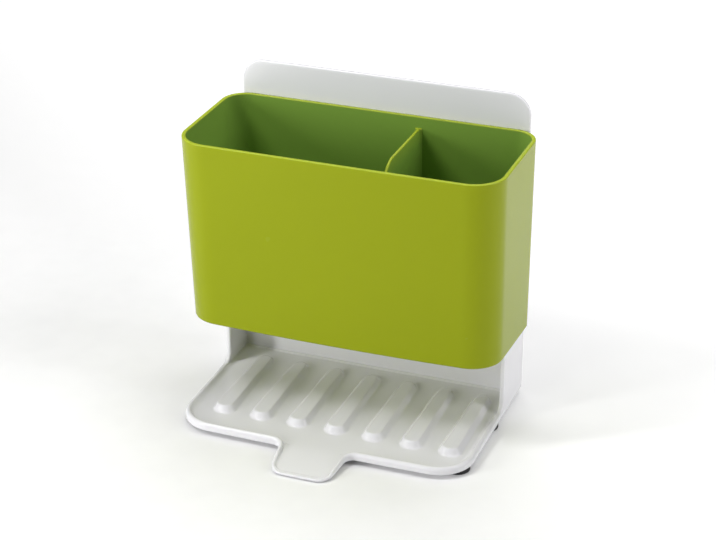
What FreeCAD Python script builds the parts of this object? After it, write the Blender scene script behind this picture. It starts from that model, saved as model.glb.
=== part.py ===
import FreeCAD, Part
import math
import os

# Kitchen sink caddy: a white stand with a drip tray, a green bin that lifts off it, and six rubber feet.
# Millimetres. +Z is up, -Y is the front. The origin is on the table, at the middle of the outer box.

# Stand: plate, cheeks and bay wall
stand_width = 186.6
plate_height = 198.2
plate_thickness = 2.7
plate_corner_radius = 14.0
plate_edge_rounding = 0.8
cheek_height = 50.2
cheek_depth = 40.4
cheek_thickness = 3.0
cheek_foot_radius = 6.5
cheek_edge_rounding = 1.1
bay_wall_setback = 14.0
bay_wall_thickness = 2.5
bay_fillet_radius = 2.0
web_thickness = 2.0
web_spacing = 72.0

# Stand: tray
tray_depth = 121.8
tray_corner_fallback = 1.2
tray_corner_radius = 22.5
rear_corner_radius = 2.0
rim_height = 4.8
rim_wall = 3.4
rim_outer_rounding = 2.4
floor_back_thickness = 2.6
floor_front_thickness = 1.9
pocket_drain_diameter = 5.0

# Stand: spout
spout_length = 26.4
spout_root_width = 43.0
spout_tip_width = 37.0
spout_tip_radius = 9.0
spout_root_flare = 6.5
spout_root_radius = 5.9
spout_wall = 2.0
spout_drop = 2.4
spout_tip_rim = 1.6
spout_tip_floor = 0.9

# Stand: ribs on the tray floor
rib_count = 7
rib_pitch = 24.5
rib_offset = 3.3
rib_nose_width = 17.2
rib_tail_width = 10.4
rib_nose_crest = 10.4
rib_tail_crest = 5.8
rib_nose_height = 4.2
rib_tail_height = 3.0
rib_back_gap = 11.0
rib_front_gap = 21.3
rib_nose_slope = 4.6
rib_tail_slope = 6.0
rib_corner_radius = 4.8
rib_crest_radius = 2.4
rib_crest_rounding = 1.3

# Feet
foot_diameter = 15.2
foot_reach = 3.2
foot_edge_rounding = 0.5
foot_edge_margin = 0.2
front_foot_angle = 21.0
middle_foot_setback = 50.5
rear_foot_margin = 3.0
rear_foot_spacing = 140.0

# Bin
bin_width = 201.7
bin_depth = 90.4
bin_height = 126.05
bin_bottom_rise = 5.0
bin_gap = 0.3
bin_side_draft = 1.6
bin_back_draft = 0.4
bin_front_draft = 4.9
bin_rim_bow = 0.4
bin_bottom_bow = 3.1
bin_front_corner_radius = 20.3
bin_back_rim_radius = 15.5
bin_back_bottom_radius = 13.0
bin_wall = 2.5
bin_floor = 2.4
bin_rim_rounding = 0.9
bin_bottom_rounding = 1.0

# Bin: divider, drain holes and the two tongues that drop behind the bay wall
divider_offset = 24.0
divider_thickness = 2.2
divider_drop = 7.2
divider_level_length = 47.0
divider_brow_radius = 16.0
divider_sweep_angle = 62.0
divider_toe_radius = 12.0
drain_diameter = 5.0
drain_pitch = 18.0
drain_margin = 16.0
tongue_width = 40.0
tongue_spacing = 96.0
tongue_thickness = 3.0
tongue_height = 32.0
tongue_corner_radius = 5.0

# Places worked out from the sizes above
overall_depth = tray_depth + spout_length
back_y = overall_depth / 2
base_z = foot_reach
half_width = stand_width / 2
bin_base_z = base_z + cheek_height
bin_rim_z = bin_base_z + bin_height
foot_radius = foot_diameter / 2
reach_past = 10.0


def from_back(distance):
    """Y of a place this far in front of the plate's rear face."""
    return back_y - distance


def seat_z(distance):
    """Height of the sloped seat under the bin, this far in front of the plate's rear face."""
    return bin_base_z + bin_bottom_rise * (distance - plate_thickness - bin_gap) / bin_depth


def point(x, y, z=0.0):
    """A point in the part's frame."""
    return FreeCAD.Vector(x, y, z)


def rounded_outline(corners, radii, z):
    """Closed wire through plan corners, each rounded by a tangent arc of its own radius (0 keeps it sharp)."""
    starts, middles, ends = [], [], []
    count = len(corners)
    for index, (x, y) in enumerate(corners):
        corner = point(x, y, z)
        before = point(*corners[index - 1], z) - corner
        after = point(*corners[(index + 1) % count], z) - corner
        before.normalize()
        after.normalize()
        half_angle = before.getAngle(after) / 2
        radius = radii[index]
        bisector = before + after
        bisector.normalize()
        centre = corner + bisector * (radius / math.sin(half_angle))
        tangent_length = radius / math.tan(half_angle)
        starts.append(corner + before * tangent_length)
        middles.append(centre - bisector * radius)
        ends.append(corner + after * tangent_length)
    edges = []
    for index in range(count):
        if radii[index] > 0:
            edges.append(Part.Arc(starts[index], middles[index], ends[index]).toShape())
        edges.append(Part.LineSegment(ends[index], starts[(index + 1) % count]).toShape())
    return Part.Wire(edges)


def slab(corners, radii, z_low, z_high):
    """Upright prism on a rounded plan outline."""
    return Part.Face(rounded_outline(corners, radii, z_low)).extrude(point(0, 0, z_high - z_low))


def side_prism(outline, x_low, x_high):
    """Prism along X on a closed list of (y, z) points."""
    loop = [point(x_low, y, z) for y, z in outline]
    return Part.Face(Part.makePolygon(loop + loop[:1])).extrude(point(x_high - x_low, 0, 0))


def edges_at_height(shape, z):
    """Edges that lie wholly in the level plane at height z."""
    return [edge for edge in shape.Edges if all(abs(v.Z - z) < 1e-4 for v in edge.Vertexes)
            and abs(edge.BoundBox.ZLength) < 1e-3]


# Stand
def tray_corners(inset):
    """Plan corners of the tray, rear left first, moved in from the outer edge on three sides."""
    side = half_width - inset
    front = from_back(tray_depth - tray_corner_fallback - inset)
    middle = from_back(tray_depth - inset)
    return [(-side, back_y), (-side, front), (0, middle), (side, front), (side, back_y)]


def tray_radii(inset, rear_radius):
    """Corner radii that go with tray_corners."""
    front = tray_corner_radius - inset
    return [rear_radius, front, 0, front, rear_radius]


def floor_height(y):
    """Top of the tray floor, which falls evenly from the bay wall to the front rim."""
    back = from_back(bay_wall_setback)
    front = from_back(tray_depth - rim_wall)
    share = (back - y) / (back - front)
    return base_z + floor_back_thickness + (floor_front_thickness - floor_back_thickness) * share


def make_tray():
    """Tray with its raised rim; the floor is cut to a slope inside the rim."""
    rim_z = base_z + rim_height
    body = slab(tray_corners(0), tray_radii(0, rear_corner_radius), base_z, rim_z)
    front_edges = [edge for edge in edges_at_height(body, rim_z) if edge.BoundBox.YMin < back_y - cheek_depth]
    body = body.makeFillet(rim_outer_rounding, front_edges)
    room = slab(tray_corners(rim_wall), tray_radii(rim_wall, 0), base_z, rim_z + reach_past)
    wedge_front = from_back(overall_depth)
    wedge = side_prism(
        [
            (back_y, floor_height(back_y)),
            (wedge_front, floor_height(wedge_front)),
            (wedge_front, rim_z + reach_past),
            (back_y, rim_z + reach_past),
        ],
        -half_width,
        half_width,
    )
    return body.cut(room.common(wedge))


def spout_outline(inset, z):
    """Plan outline of the spout with flared roots; it starts behind the front rim."""
    root = spout_root_width / 2 - inset
    tip = spout_tip_width / 2 - inset
    flare = spout_root_flare + inset
    rim_y = from_back(tray_depth - inset)
    start_y = from_back(tray_depth - rim_wall - spout_wall)
    tip_y = from_back(overall_depth - inset)
    corners = [
        (-root - flare, start_y),
        (-root - flare, rim_y),
        (-root, rim_y),
        (-tip, tip_y),
        (tip, tip_y),
        (root, rim_y),
        (root + flare, rim_y),
        (root + flare, start_y),
    ]
    bend = spout_root_radius + inset
    radii = [0, 0, bend, spout_tip_radius - inset, spout_tip_radius - inset, bend, 0, 0]
    return rounded_outline(corners, radii, z)


def make_spout():
    """Spout body and the channel that is cut through the front rim into it."""
    low = base_z - reach_past
    tall = 3 * reach_past
    start_y = from_back(tray_depth - rim_wall - spout_wall)
    root_y = from_back(tray_depth)
    tip_y = from_back(overall_depth)
    rim_z = base_z + rim_height
    tip_low = base_z - spout_drop
    body_side = [
        (start_y, base_z),
        (root_y, base_z),
        (tip_y, tip_low),
        (tip_y, tip_low + spout_tip_rim),
        (root_y, rim_z),
        (start_y, rim_z),
    ]
    root_floor = floor_height(root_y)
    channel_side = [
        (start_y + reach_past, floor_height(start_y + reach_past)),
        (root_y, root_floor),
        (tip_y, tip_low + spout_tip_floor),
        (tip_y, rim_z + reach_past),
        (start_y + reach_past, rim_z + reach_past),
    ]
    body_plan = Part.Face(spout_outline(0, low)).extrude(point(0, 0, tall))
    channel_plan = Part.Face(spout_outline(spout_wall, low)).extrude(point(0, 0, tall))
    body = body_plan.common(side_prism(body_side, -half_width, half_width))
    channel = channel_plan.common(side_prism(channel_side, -half_width, half_width))
    return body, channel


def make_rib(x):
    """One loaf-shaped rib that widens and rises from its tail to its nose, with a rounded crest."""
    back = from_back(bay_wall_setback + rib_back_gap)
    front = from_back(tray_depth - rib_front_gap)
    crest_back = back - rib_tail_slope
    crest_front = front + rib_nose_slope
    base_level = base_z + floor_front_thickness / 2
    nose_level = floor_height(crest_front) + rib_nose_height
    tail_level = floor_height(crest_back) + rib_tail_height

    def plan(nose_width, y_front, tail_width, y_back, radius, z):
        nose = nose_width / 2
        tail = tail_width / 2
        corners = [(x - tail, y_back), (x - nose, y_front), (x + nose, y_front), (x + tail, y_back)]
        return rounded_outline(corners, [radius] * 4, z)

    base = plan(rib_nose_width, front, rib_tail_width, back, rib_corner_radius, base_level)
    crest = plan(rib_nose_crest, crest_front, rib_tail_crest, crest_back, rib_crest_radius, nose_level)
    fall = math.atan2(nose_level - tail_level, crest_back - crest_front)
    crest.rotate(point(x, crest_front, nose_level), point(1, 0, 0), -math.degrees(fall))
    loaf = Part.makeLoft([base, crest], True, True)
    crest_face = max(loaf.Faces, key=lambda face: face.CenterOfMass.z)
    return loaf.makeFillet(rib_crest_rounding, crest_face.Edges)


def make_cheek(side):
    """Side cheek: a wall whose front edge runs down and sweeps forward into the tray rim."""
    outer = side * half_width
    inner = outer - side * cheek_thickness
    front_y = from_back(cheek_depth)
    rim_z = base_z + rim_height
    front_top = point(outer, front_y, seat_z(cheek_depth))
    back_top = point(outer, back_y, seat_z(0))
    sweep = cheek_foot_radius
    centre = point(outer, front_y - sweep, rim_z + sweep)
    diagonal = sweep / math.sqrt(2)
    toe = point(outer, front_y - sweep, rim_z)
    heel = point(outer, front_y, rim_z + sweep)
    middle = centre + point(0, diagonal, -diagonal)
    bottom_y = front_y - sweep
    edges = [
        Part.LineSegment(point(outer, back_y, base_z), point(outer, bottom_y, base_z)).toShape(),
        Part.LineSegment(point(outer, bottom_y, base_z), toe).toShape(),
        Part.Arc(toe, middle, heel).toShape(),
        Part.LineSegment(heel, front_top).toShape(),
        Part.LineSegment(front_top, back_top).toShape(),
        Part.LineSegment(back_top, point(outer, back_y, base_z)).toShape(),
    ]
    wall = Part.Face(Part.Wire(edges)).extrude(point(inner - outer, 0, 0))
    front_edges = []
    for edge in wall.Edges:
        middle_point = edge.valueAt((edge.FirstParameter + edge.LastParameter) / 2)
        along_x = edge.BoundBox.XLength > cheek_thickness / 2
        in_front = bottom_y + 1e-3 < middle_point.y < front_y + 1e-3
        if in_front and not along_x and middle_point.z > base_z + 1e-3:
            front_edges.append(edge)
    return wall.makeFillet(cheek_edge_rounding, front_edges)


def make_plate():
    """Upright back plate with rounded upper corners and softened edges."""
    top_z = base_z + plate_height
    corners = [(-half_width, base_z), (half_width, base_z), (half_width, top_z), (-half_width, top_z)]
    flat = rounded_outline(corners, [0, 0, plate_corner_radius, plate_corner_radius], 0)
    plate = Part.Face(flat).extrude(point(0, 0, plate_thickness))
    plate.rotate(point(0, 0), point(1, 0), 90)
    plate.translate(point(0, back_y))
    soft = [edge for edge in plate.Edges if edge.BoundBox.YLength < 1e-6 and edge.BoundBox.ZMax > base_z + 1e-3]
    return plate.makeFillet(plate_edge_rounding, soft)


def make_bay_wall():
    """Wall behind the tray, its fillet on the floor, and the webs that tie it to the plate."""
    front_y = from_back(bay_wall_setback)
    rear_y = front_y + bay_wall_thickness
    inner = half_width - cheek_thickness / 2
    rear_setback = bay_wall_setback - bay_wall_thickness
    wall_side = [
        (front_y, base_z),
        (rear_y, base_z),
        (rear_y, seat_z(rear_setback)),
        (front_y, seat_z(bay_wall_setback)),
    ]
    wall = side_prism(wall_side, -inner, inner)
    floor_z = floor_height(front_y)
    radius = bay_fillet_radius
    diagonal = radius / math.sqrt(2)
    centre = point(-inner, front_y - radius, floor_z + radius)
    low = point(-inner, front_y - radius, floor_z)
    high = point(-inner, front_y, floor_z + radius)
    buried = point(-inner, front_y + bay_wall_thickness / 2, floor_z - floor_front_thickness / 2)
    buried_front = point(-inner, front_y - radius, floor_z - floor_front_thickness / 2)
    buried_back = point(-inner, front_y + bay_wall_thickness / 2, floor_z + radius)
    edges = [
        Part.Arc(low, centre + point(0, diagonal, -diagonal), high).toShape(),
        Part.LineSegment(high, buried_back).toShape(),
        Part.LineSegment(buried_back, buried).toShape(),
        Part.LineSegment(buried, buried_front).toShape(),
        Part.LineSegment(buried_front, low).toShape(),
    ]
    fillet = Part.Face(Part.Wire(edges)).extrude(point(2 * inner, 0, 0))
    pieces = [wall, fillet]
    web_back = plate_thickness / 2
    web_front = rear_setback + bay_wall_thickness / 2
    web_side = [
        (from_back(web_front), base_z),
        (from_back(web_back), base_z),
        (from_back(web_back), seat_z(web_back)),
        (from_back(web_front), seat_z(web_front)),
    ]
    for x in (-web_spacing, 0, web_spacing):
        pieces.append(side_prism(web_side, x - web_thickness / 2, x + web_thickness / 2))
    return pieces


def foot_places():
    """Names and centres of the six feet on the table."""
    corner_x = half_width - tray_corner_radius
    corner_y = from_back(tray_depth - tray_corner_fallback - tray_corner_radius)
    reach = tray_corner_radius - foot_edge_margin - foot_radius
    angle = math.radians(front_foot_angle)
    front = (corner_x + reach * math.cos(angle), corner_y - reach * math.sin(angle))
    middle = (half_width - foot_edge_margin - foot_radius, from_back(middle_foot_setback))
    rear = (rear_foot_spacing / 2, from_back(rear_foot_margin + foot_radius))
    places = {}
    for row, (x, y) in (("front", front), ("middle", middle), ("rear", rear)):
        places["foot_%s_left" % row] = (-x, y)
        places["foot_%s_right" % row] = (x, y)
    return places


def make_stand():
    """The whole white moulding."""
    spout, channel = make_spout()
    stand = make_tray().fuse(spout).cut(channel)
    first_rib = rib_offset - (rib_count - 1) / 2 * rib_pitch
    ribs = [make_rib(first_rib + index * rib_pitch) for index in range(rib_count)]
    walls = [make_plate(), make_cheek(-1), make_cheek(1)] + make_bay_wall()
    stand = stand.fuse(ribs + walls)
    drain_y = from_back((plate_thickness + bay_wall_setback - bay_wall_thickness) / 2)
    for x in (-web_spacing / 2, web_spacing / 2):
        stand = stand.cut(Part.makeCylinder(pocket_drain_diameter / 2, cheek_height, point(x, drain_y, 0)))
    return stand.removeSplitter()


# Feet
def make_foot(x, y):
    """Round rubber pad stuck under the tray, with a softened lower edge."""
    pad = Part.makeCylinder(foot_radius, foot_reach, point(x, y, 0))
    return pad.makeFillet(foot_edge_rounding, edges_at_height(pad, 0))


# Bin
def bin_outline(z, inset):
    """Plan outline of the bin at height z: a bowed front, straight sides and back, four round corners."""
    share = (bin_rim_z - z) / bin_height
    half = bin_width / 2 - bin_side_draft * share - inset
    back = from_back(plate_thickness + bin_gap) - bin_back_draft * share - inset
    front = from_back(plate_thickness + bin_gap + bin_depth) + bin_front_draft * share + inset
    bow = bin_rim_bow + (bin_bottom_bow - bin_rim_bow) * share
    front_radius = bin_front_corner_radius - inset
    back_radius = bin_back_rim_radius + (bin_back_bottom_radius - bin_back_rim_radius) * share - inset
    bow_radius = (half * half + bow * bow) / (2 * bow)
    bow_centre = point(0, front + bow_radius, z)
    corner_x = half - front_radius
    corner_y = bow_centre.y - math.sqrt((bow_radius - front_radius) ** 2 - corner_x ** 2)

    def front_corner(side):
        centre = point(side * corner_x, corner_y, z)
        on_side = point(side * half, corner_y, z)
        away = centre - bow_centre
        away.normalize()
        on_front = bow_centre + away * bow_radius
        middle = (on_side - centre) + (on_front - centre)
        middle.normalize()
        return on_side, centre + middle * front_radius, on_front

    def back_corner(side):
        centre = point(side * (half - back_radius), back - back_radius, z)
        diagonal = point(side, 1)
        diagonal.normalize()
        return centre + point(side * back_radius, 0), centre + diagonal * back_radius, centre + point(0, back_radius)

    left_side, left_middle, left_front = front_corner(-1)
    right_side, right_middle, right_front = front_corner(1)
    back_left_side, back_left_middle, back_left = back_corner(-1)
    back_right_side, back_right_middle, back_right = back_corner(1)
    return Part.Wire([
        Part.Arc(left_front, point(0, front, z), right_front).toShape(),
        Part.Arc(right_front, right_middle, right_side).toShape(),
        Part.LineSegment(right_side, back_right_side).toShape(),
        Part.Arc(back_right_side, back_right_middle, back_right).toShape(),
        Part.LineSegment(back_right, back_left).toShape(),
        Part.Arc(back_left, back_left_middle, back_left_side).toShape(),
        Part.LineSegment(back_left_side, left_side).toShape(),
        Part.Arc(left_side, left_middle, left_front).toShape(),
    ])


def bin_solid(inset, lift, z_high):
    """Solid moved in from the bin's outer face, between the lifted sloping bottom and a level top."""
    z_low = bin_base_z - reach_past
    tall = Part.makeLoft([bin_outline(z_low, inset), bin_outline(z_high, inset)], True, True)
    span = 2 * bin_depth
    below = [
        (from_back(-span), z_low - reach_past),
        (from_back(span), z_low - reach_past),
        (from_back(span), seat_z(span) + lift),
        (from_back(-span), seat_z(-span) + lift),
    ]
    return tall.cut(side_prism(below, -bin_width, bin_width))


def bottom_edges(shape):
    """Edges of a bin solid that lie in the plane of the seat."""
    found = []
    for edge in shape.Edges:
        middle = edge.valueAt((edge.FirstParameter + edge.LastParameter) / 2)
        spots = [vertex.Point for vertex in edge.Vertexes] + [middle]
        if all(abs(spot.z - seat_z(back_y - spot.y)) < 1e-3 for spot in spots):
            found.append(edge)
    return found


def make_divider():
    """Upright divider: level at the back, rounded over a brow, then swept down to a toe on the front wall."""
    back = from_back(plate_thickness + bin_gap)
    top_z = bin_rim_z - divider_drop
    low_z = bin_base_z - reach_past
    front = from_back(plate_thickness + bin_gap + bin_depth)
    angle = math.radians(divider_sweep_angle)
    brow_y = back - bin_wall - divider_level_length
    brow = point(0, brow_y, top_z - divider_brow_radius)
    half_turn = angle / 2
    brow_middle = brow + point(0, -math.sin(half_turn), math.cos(half_turn)) * divider_brow_radius
    brow_end = brow + point(0, -math.sin(angle), math.cos(angle)) * divider_brow_radius
    toe_y = front + bin_wall
    run = brow_end.y - toe_y - divider_toe_radius * math.sin(angle)
    toe_start = brow_end + point(0, -run, -run * math.tan(angle))
    toe = toe_start + point(0, -math.sin(angle), math.cos(angle)) * divider_toe_radius
    toe_middle = toe - point(0, -math.sin(half_turn), math.cos(half_turn)) * divider_toe_radius
    toe_end = toe - point(0, 0, divider_toe_radius)
    edges = [
        Part.LineSegment(point(0, back, low_z), point(0, back, top_z)).toShape(),
        Part.LineSegment(point(0, back, top_z), point(0, brow_y, top_z)).toShape(),
        Part.Arc(point(0, brow_y, top_z), brow_middle, brow_end).toShape(),
        Part.LineSegment(brow_end, toe_start).toShape(),
        Part.Arc(toe_start, toe_middle, toe_end).toShape(),
        Part.LineSegment(toe_end, point(0, front - reach_past, toe_end.z)).toShape(),
        Part.LineSegment(point(0, front - reach_past, toe_end.z), point(0, front - reach_past, low_z)).toShape(),
        Part.LineSegment(point(0, front - reach_past, low_z), point(0, back, low_z)).toShape(),
    ]
    sheet = Part.Face(Part.Wire(edges)).extrude(point(divider_thickness, 0, 0))
    sheet.translate(point(divider_offset - divider_thickness / 2, 0))
    return sheet


def make_tongue(x):
    """Flat tongue below the bin's back wall, with rounded lower corners."""
    half = tongue_width / 2
    low_z = bin_base_z - tongue_height
    high_z = bin_base_z + bin_bottom_rise * tongue_thickness / bin_depth + bin_floor / 2
    corners = [(x - half, low_z), (x + half, low_z), (x + half, high_z), (x - half, high_z)]
    flat = rounded_outline(corners, [tongue_corner_radius, tongue_corner_radius, 0, 0], 0)
    tongue = Part.Face(flat).extrude(point(0, 0, tongue_thickness))
    tongue.rotate(point(0, 0), point(1, 0), 90)
    tongue.translate(point(0, from_back(plate_thickness + bin_gap + bin_back_draft)))
    return tongue


def drain_rows(low, high):
    """Evenly spaced places between two limits, about one drain pitch apart."""
    steps = max(1, round((high - low) / drain_pitch))
    return [low + (high - low) * index / steps for index in range(steps + 1)]


def make_bin():
    """Drafted shell with a divider, drain holes in its floor and two tongues."""
    outside = bin_solid(0, 0, bin_rim_z)
    outside = outside.makeFillet(bin_bottom_rounding, bottom_edges(outside))
    inside = bin_solid(bin_wall, bin_floor, bin_rim_z + reach_past)
    shell = outside.cut(inside)
    shell = shell.makeFillet(bin_rim_rounding, edges_at_height(shell, bin_rim_z))
    half = bin_width / 2 - bin_side_draft - bin_wall - drain_margin
    back = from_back(plate_thickness + bin_gap + bin_back_draft + bin_wall + drain_margin)
    front = from_back(plate_thickness + bin_gap + bin_depth - bin_front_draft - bin_wall - drain_margin)
    whole = shell.fuse([make_divider().common(bin_solid(bin_wall / 2, bin_floor / 2, bin_rim_z))])
    drain_length = bin_bottom_rise + bin_floor + 2 * reach_past
    for low, high in ((-half, divider_offset - drain_margin), (divider_offset + drain_margin, half)):
        for x in drain_rows(low, high):
            for y in drain_rows(front, back):
                low_end = point(x, y, bin_base_z - reach_past)
                whole = whole.cut(Part.makeCylinder(drain_diameter / 2, drain_length, low_end))
    tongues = [make_tongue(-tongue_spacing / 2), make_tongue(tongue_spacing / 2)]
    return whole.fuse(tongues).removeSplitter()


def main():
    """Build every piece and write one file for each."""
    os.makedirs("parts", exist_ok=True)
    pieces = {"stand": make_stand(), "bin": make_bin()}
    for name, (x, y) in foot_places().items():
        pieces[name] = make_foot(x, y)
    for name, shape in pieces.items():
        solid = shape if shape.ShapeType == "Solid" else shape.Solids[0]
        box = solid.BoundBox
        print(name, "valid", shape.isValid(), "solids", len(shape.Solids), "volume %.1f" % shape.Volume,
              "x %.1f %.1f y %.1f %.1f z %.1f %.1f" % (box.XMin, box.XMax, box.YMin, box.YMax, box.ZMin, box.ZMax))
        solid.exportStep("parts/%s.step" % name)


main()
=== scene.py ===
# %% [markdown]
# # A kitchen sink caddy
#
# The real object is two plastic mouldings on six rubber feet. A white stand has an upright back plate,
# two low cheeks and a ribbed tray that drains through a spout. A lime green bin, split by a divider, sits
# on the cheeks and lifts straight off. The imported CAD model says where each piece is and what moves, so
# it is loaded first, and every surface below is worked out around it.

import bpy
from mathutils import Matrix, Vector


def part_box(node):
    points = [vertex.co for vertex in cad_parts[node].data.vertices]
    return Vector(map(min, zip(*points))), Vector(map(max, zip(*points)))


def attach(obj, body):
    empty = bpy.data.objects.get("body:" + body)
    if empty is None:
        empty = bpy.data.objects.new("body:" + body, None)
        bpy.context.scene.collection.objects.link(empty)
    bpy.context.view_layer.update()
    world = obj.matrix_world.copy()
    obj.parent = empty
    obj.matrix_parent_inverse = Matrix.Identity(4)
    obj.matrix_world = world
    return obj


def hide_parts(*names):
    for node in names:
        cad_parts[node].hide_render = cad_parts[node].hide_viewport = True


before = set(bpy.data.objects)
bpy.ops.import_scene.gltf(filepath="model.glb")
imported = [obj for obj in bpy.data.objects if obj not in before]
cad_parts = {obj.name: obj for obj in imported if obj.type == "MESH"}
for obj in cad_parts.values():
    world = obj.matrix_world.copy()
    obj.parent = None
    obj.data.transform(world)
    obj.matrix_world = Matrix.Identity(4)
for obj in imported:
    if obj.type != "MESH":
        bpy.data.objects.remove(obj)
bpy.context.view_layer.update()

# %% Tools
import math

import bmesh
import bpy
import numpy as np
from mathutils import Matrix

MM = 0.001

# %% [markdown]
# ## Measures
#
# Lengths are written in millimetres, because that is how such mouldings are drawn, and turned into metres
# when a mesh is made. The outer sizes are read from the CAD nodes, so a piece can't drift away from the
# frame.

# %% Read the outer sizes
def box_mm(node):
    """Lowest and highest corner of a CAD node at rest, in millimetres."""
    low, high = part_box(node)
    return np.array(low) / MM, np.array(high) / MM


stand_low, stand_high = box_mm("stand")
bin_low, bin_high = box_mm("bin")
foot_low, foot_high = box_mm("foot_middle_right")
back_y = stand_high[1]
base_z = foot_high[2]
stand_half = stand_high[0]
print("stand", stand_low.round(1), stand_high.round(1), "bin", bin_low.round(1), bin_high.round(1))


def from_back(depth):
    """Y of a place this far in front of the plate's rear face."""
    return back_y - depth


# %% [markdown]
# ## Camera
#
# The camera stands where the photographer stood. Its turn, tilt and lens come from the straight edges of
# the plate, the rim and the tray: their directions in the picture leave only one place to stand. Sliding
# the camera sideways by a few millimetres puts the object where it is in the picture, with no lens shift.

# %% Place the camera
photo_width = 716
focal_pixels = 2035.8
sensor_width = 36.0
camera_turn = math.radians(20.8)
camera_tilt = math.radians(26.15)
camera_roll = math.radians(-0.129)
camera_distance = 1228.6
camera_slide = (4.68, -5.48)
aim_depth = 60.0
aim_height = 100.0


def direction(turn, tilt):
    """Unit vector from the object towards a viewer: turn goes from the front to the right, tilt upwards."""
    return np.array([math.sin(turn) * math.cos(tilt), -math.cos(turn) * math.cos(tilt), math.sin(tilt)])


def axes_matrix(right, up, back, place):
    """Blender's matrix for an object with these three axes, at a place in millimetres."""
    rows = np.stack([right, up, back, np.array(place) * MM], axis=1)
    return Matrix([list(row) for row in rows] + [[0, 0, 0, 1]])


camera_back = direction(camera_turn, camera_tilt)
level_right = np.array([math.cos(camera_turn), math.sin(camera_turn), 0])
level_up = np.cross(camera_back, level_right)
camera_right = math.cos(camera_roll) * level_right + math.sin(camera_roll) * level_up
camera_up = math.cos(camera_roll) * level_up - math.sin(camera_roll) * level_right
aim = np.array([0, from_back(aim_depth), base_z + aim_height])
eye = aim + camera_distance * camera_back + camera_slide[0] * camera_right + camera_slide[1] * camera_up
camera_data = bpy.data.cameras.new("photo_camera")
camera_data.sensor_width = sensor_width
camera_data.lens = sensor_width * focal_pixels / photo_width
camera = bpy.data.objects.new("photo_camera", camera_data)
camera.matrix_world = axes_matrix(camera_right, camera_up, camera_back, eye)
bpy.context.collection.objects.link(camera)
bpy.context.scene.camera = camera
print("camera at", eye.round(1), "mm, lens", round(camera_data.lens, 2), "mm")

# %% [markdown]
# ## Shader maths
#
# A finish that changes over a surface is a small calculation. One class wraps a node's socket, so that
# the calculation can be written as plain Python, and one method adds every other kind of node.

# %% Wrap a socket
class Wire:
    """One output socket of a material. Arithmetic on it adds Math nodes; node() adds a node of any kind."""

    def __init__(self, tree, socket=None):
        self.tree = tree
        self.socket = socket

    def node(self, kind, settings, inputs, output=0):
        """Adds a node, gives it its settings, then fills or links its sockets, and returns one output."""
        made = self.tree.nodes.new(kind)
        for name, value in settings.items():
            if name == "stops":
                for stop, (position, colour) in zip(made.color_ramp.elements, value):
                    stop.position = position
                    stop.color = colour
            else:
                setattr(made, name, value)
        for name, value in inputs.items():
            if isinstance(value, Wire):
                self.tree.links.new(value.socket, made.inputs[name])
            else:
                made.inputs[name].default_value = value
        return Wire(self.tree, made.outputs[output] if made.outputs else None)

    def maths(self, operation, first, second):
        """A Math node with two inputs."""
        return self.node("ShaderNodeMath", {"operation": operation}, {0: first, 1: second})

    def __add__(self, other):
        return self.maths("ADD", self, other)

    def __radd__(self, other):
        return self.maths("ADD", other, self)

    def __sub__(self, other):
        return self.maths("SUBTRACT", self, other)

    def __rsub__(self, other):
        return self.maths("SUBTRACT", other, self)

    def __mul__(self, other):
        return self.maths("MULTIPLY", self, other)

    def __rmul__(self, other):
        return self.maths("MULTIPLY", other, self)


def new_material(name):
    """An empty material, and a first wire to start calculations from."""
    material = bpy.data.materials.new(name)
    material.use_nodes = True
    tree = material.node_tree
    tree.nodes.clear()
    return material, Wire(tree)


def finish_material(start, shader):
    """Links a shader to the material's output."""
    start.node("ShaderNodeOutputMaterial", {}, {"Surface": shader})


def noise(start, place, scale, detail):
    """Noise from 0 to 1 on the object's own coordinates; scale is in waves per metre."""
    settings = {"noise_dimensions": "3D"}
    return start.node("ShaderNodeTexNoise", settings, {"Vector": place, "Scale": scale, "Detail": detail})


def mixed_colour(start, share, first, second):
    """A colour between two others. A Mix node's colour sockets come after those for numbers and vectors."""
    sockets = {0: share, 6: first, 7: second}
    return start.node("ShaderNodeMix", {"data_type": "RGBA"}, sockets, 2)


# %% [markdown]
# ## Moulded plastic
#
# Both mouldings are polypropylene from a lightly spark-textured tool: satin, not glossy, with a fine
# grain that is felt more than seen. The pigment drifts slightly where the melt flowed, and handling
# leaves faint duller patches. So the finish is a base colour with a slow drift, a roughness with slow
# patches, and a very fine bump, all from noise on the object's own coordinates. On the green, a deeper
# colour is painted on the bin's inner faces as painted shade, and a lighter one along the rounding of
# its rim and the divider's crest as a painted highlight.

# %% Make the plastics
patch_spread = 0.1
grain_share = 0.12
grain_strength = 0.06
grain_distance = 0.0004
plastic_ior = 1.49


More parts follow.
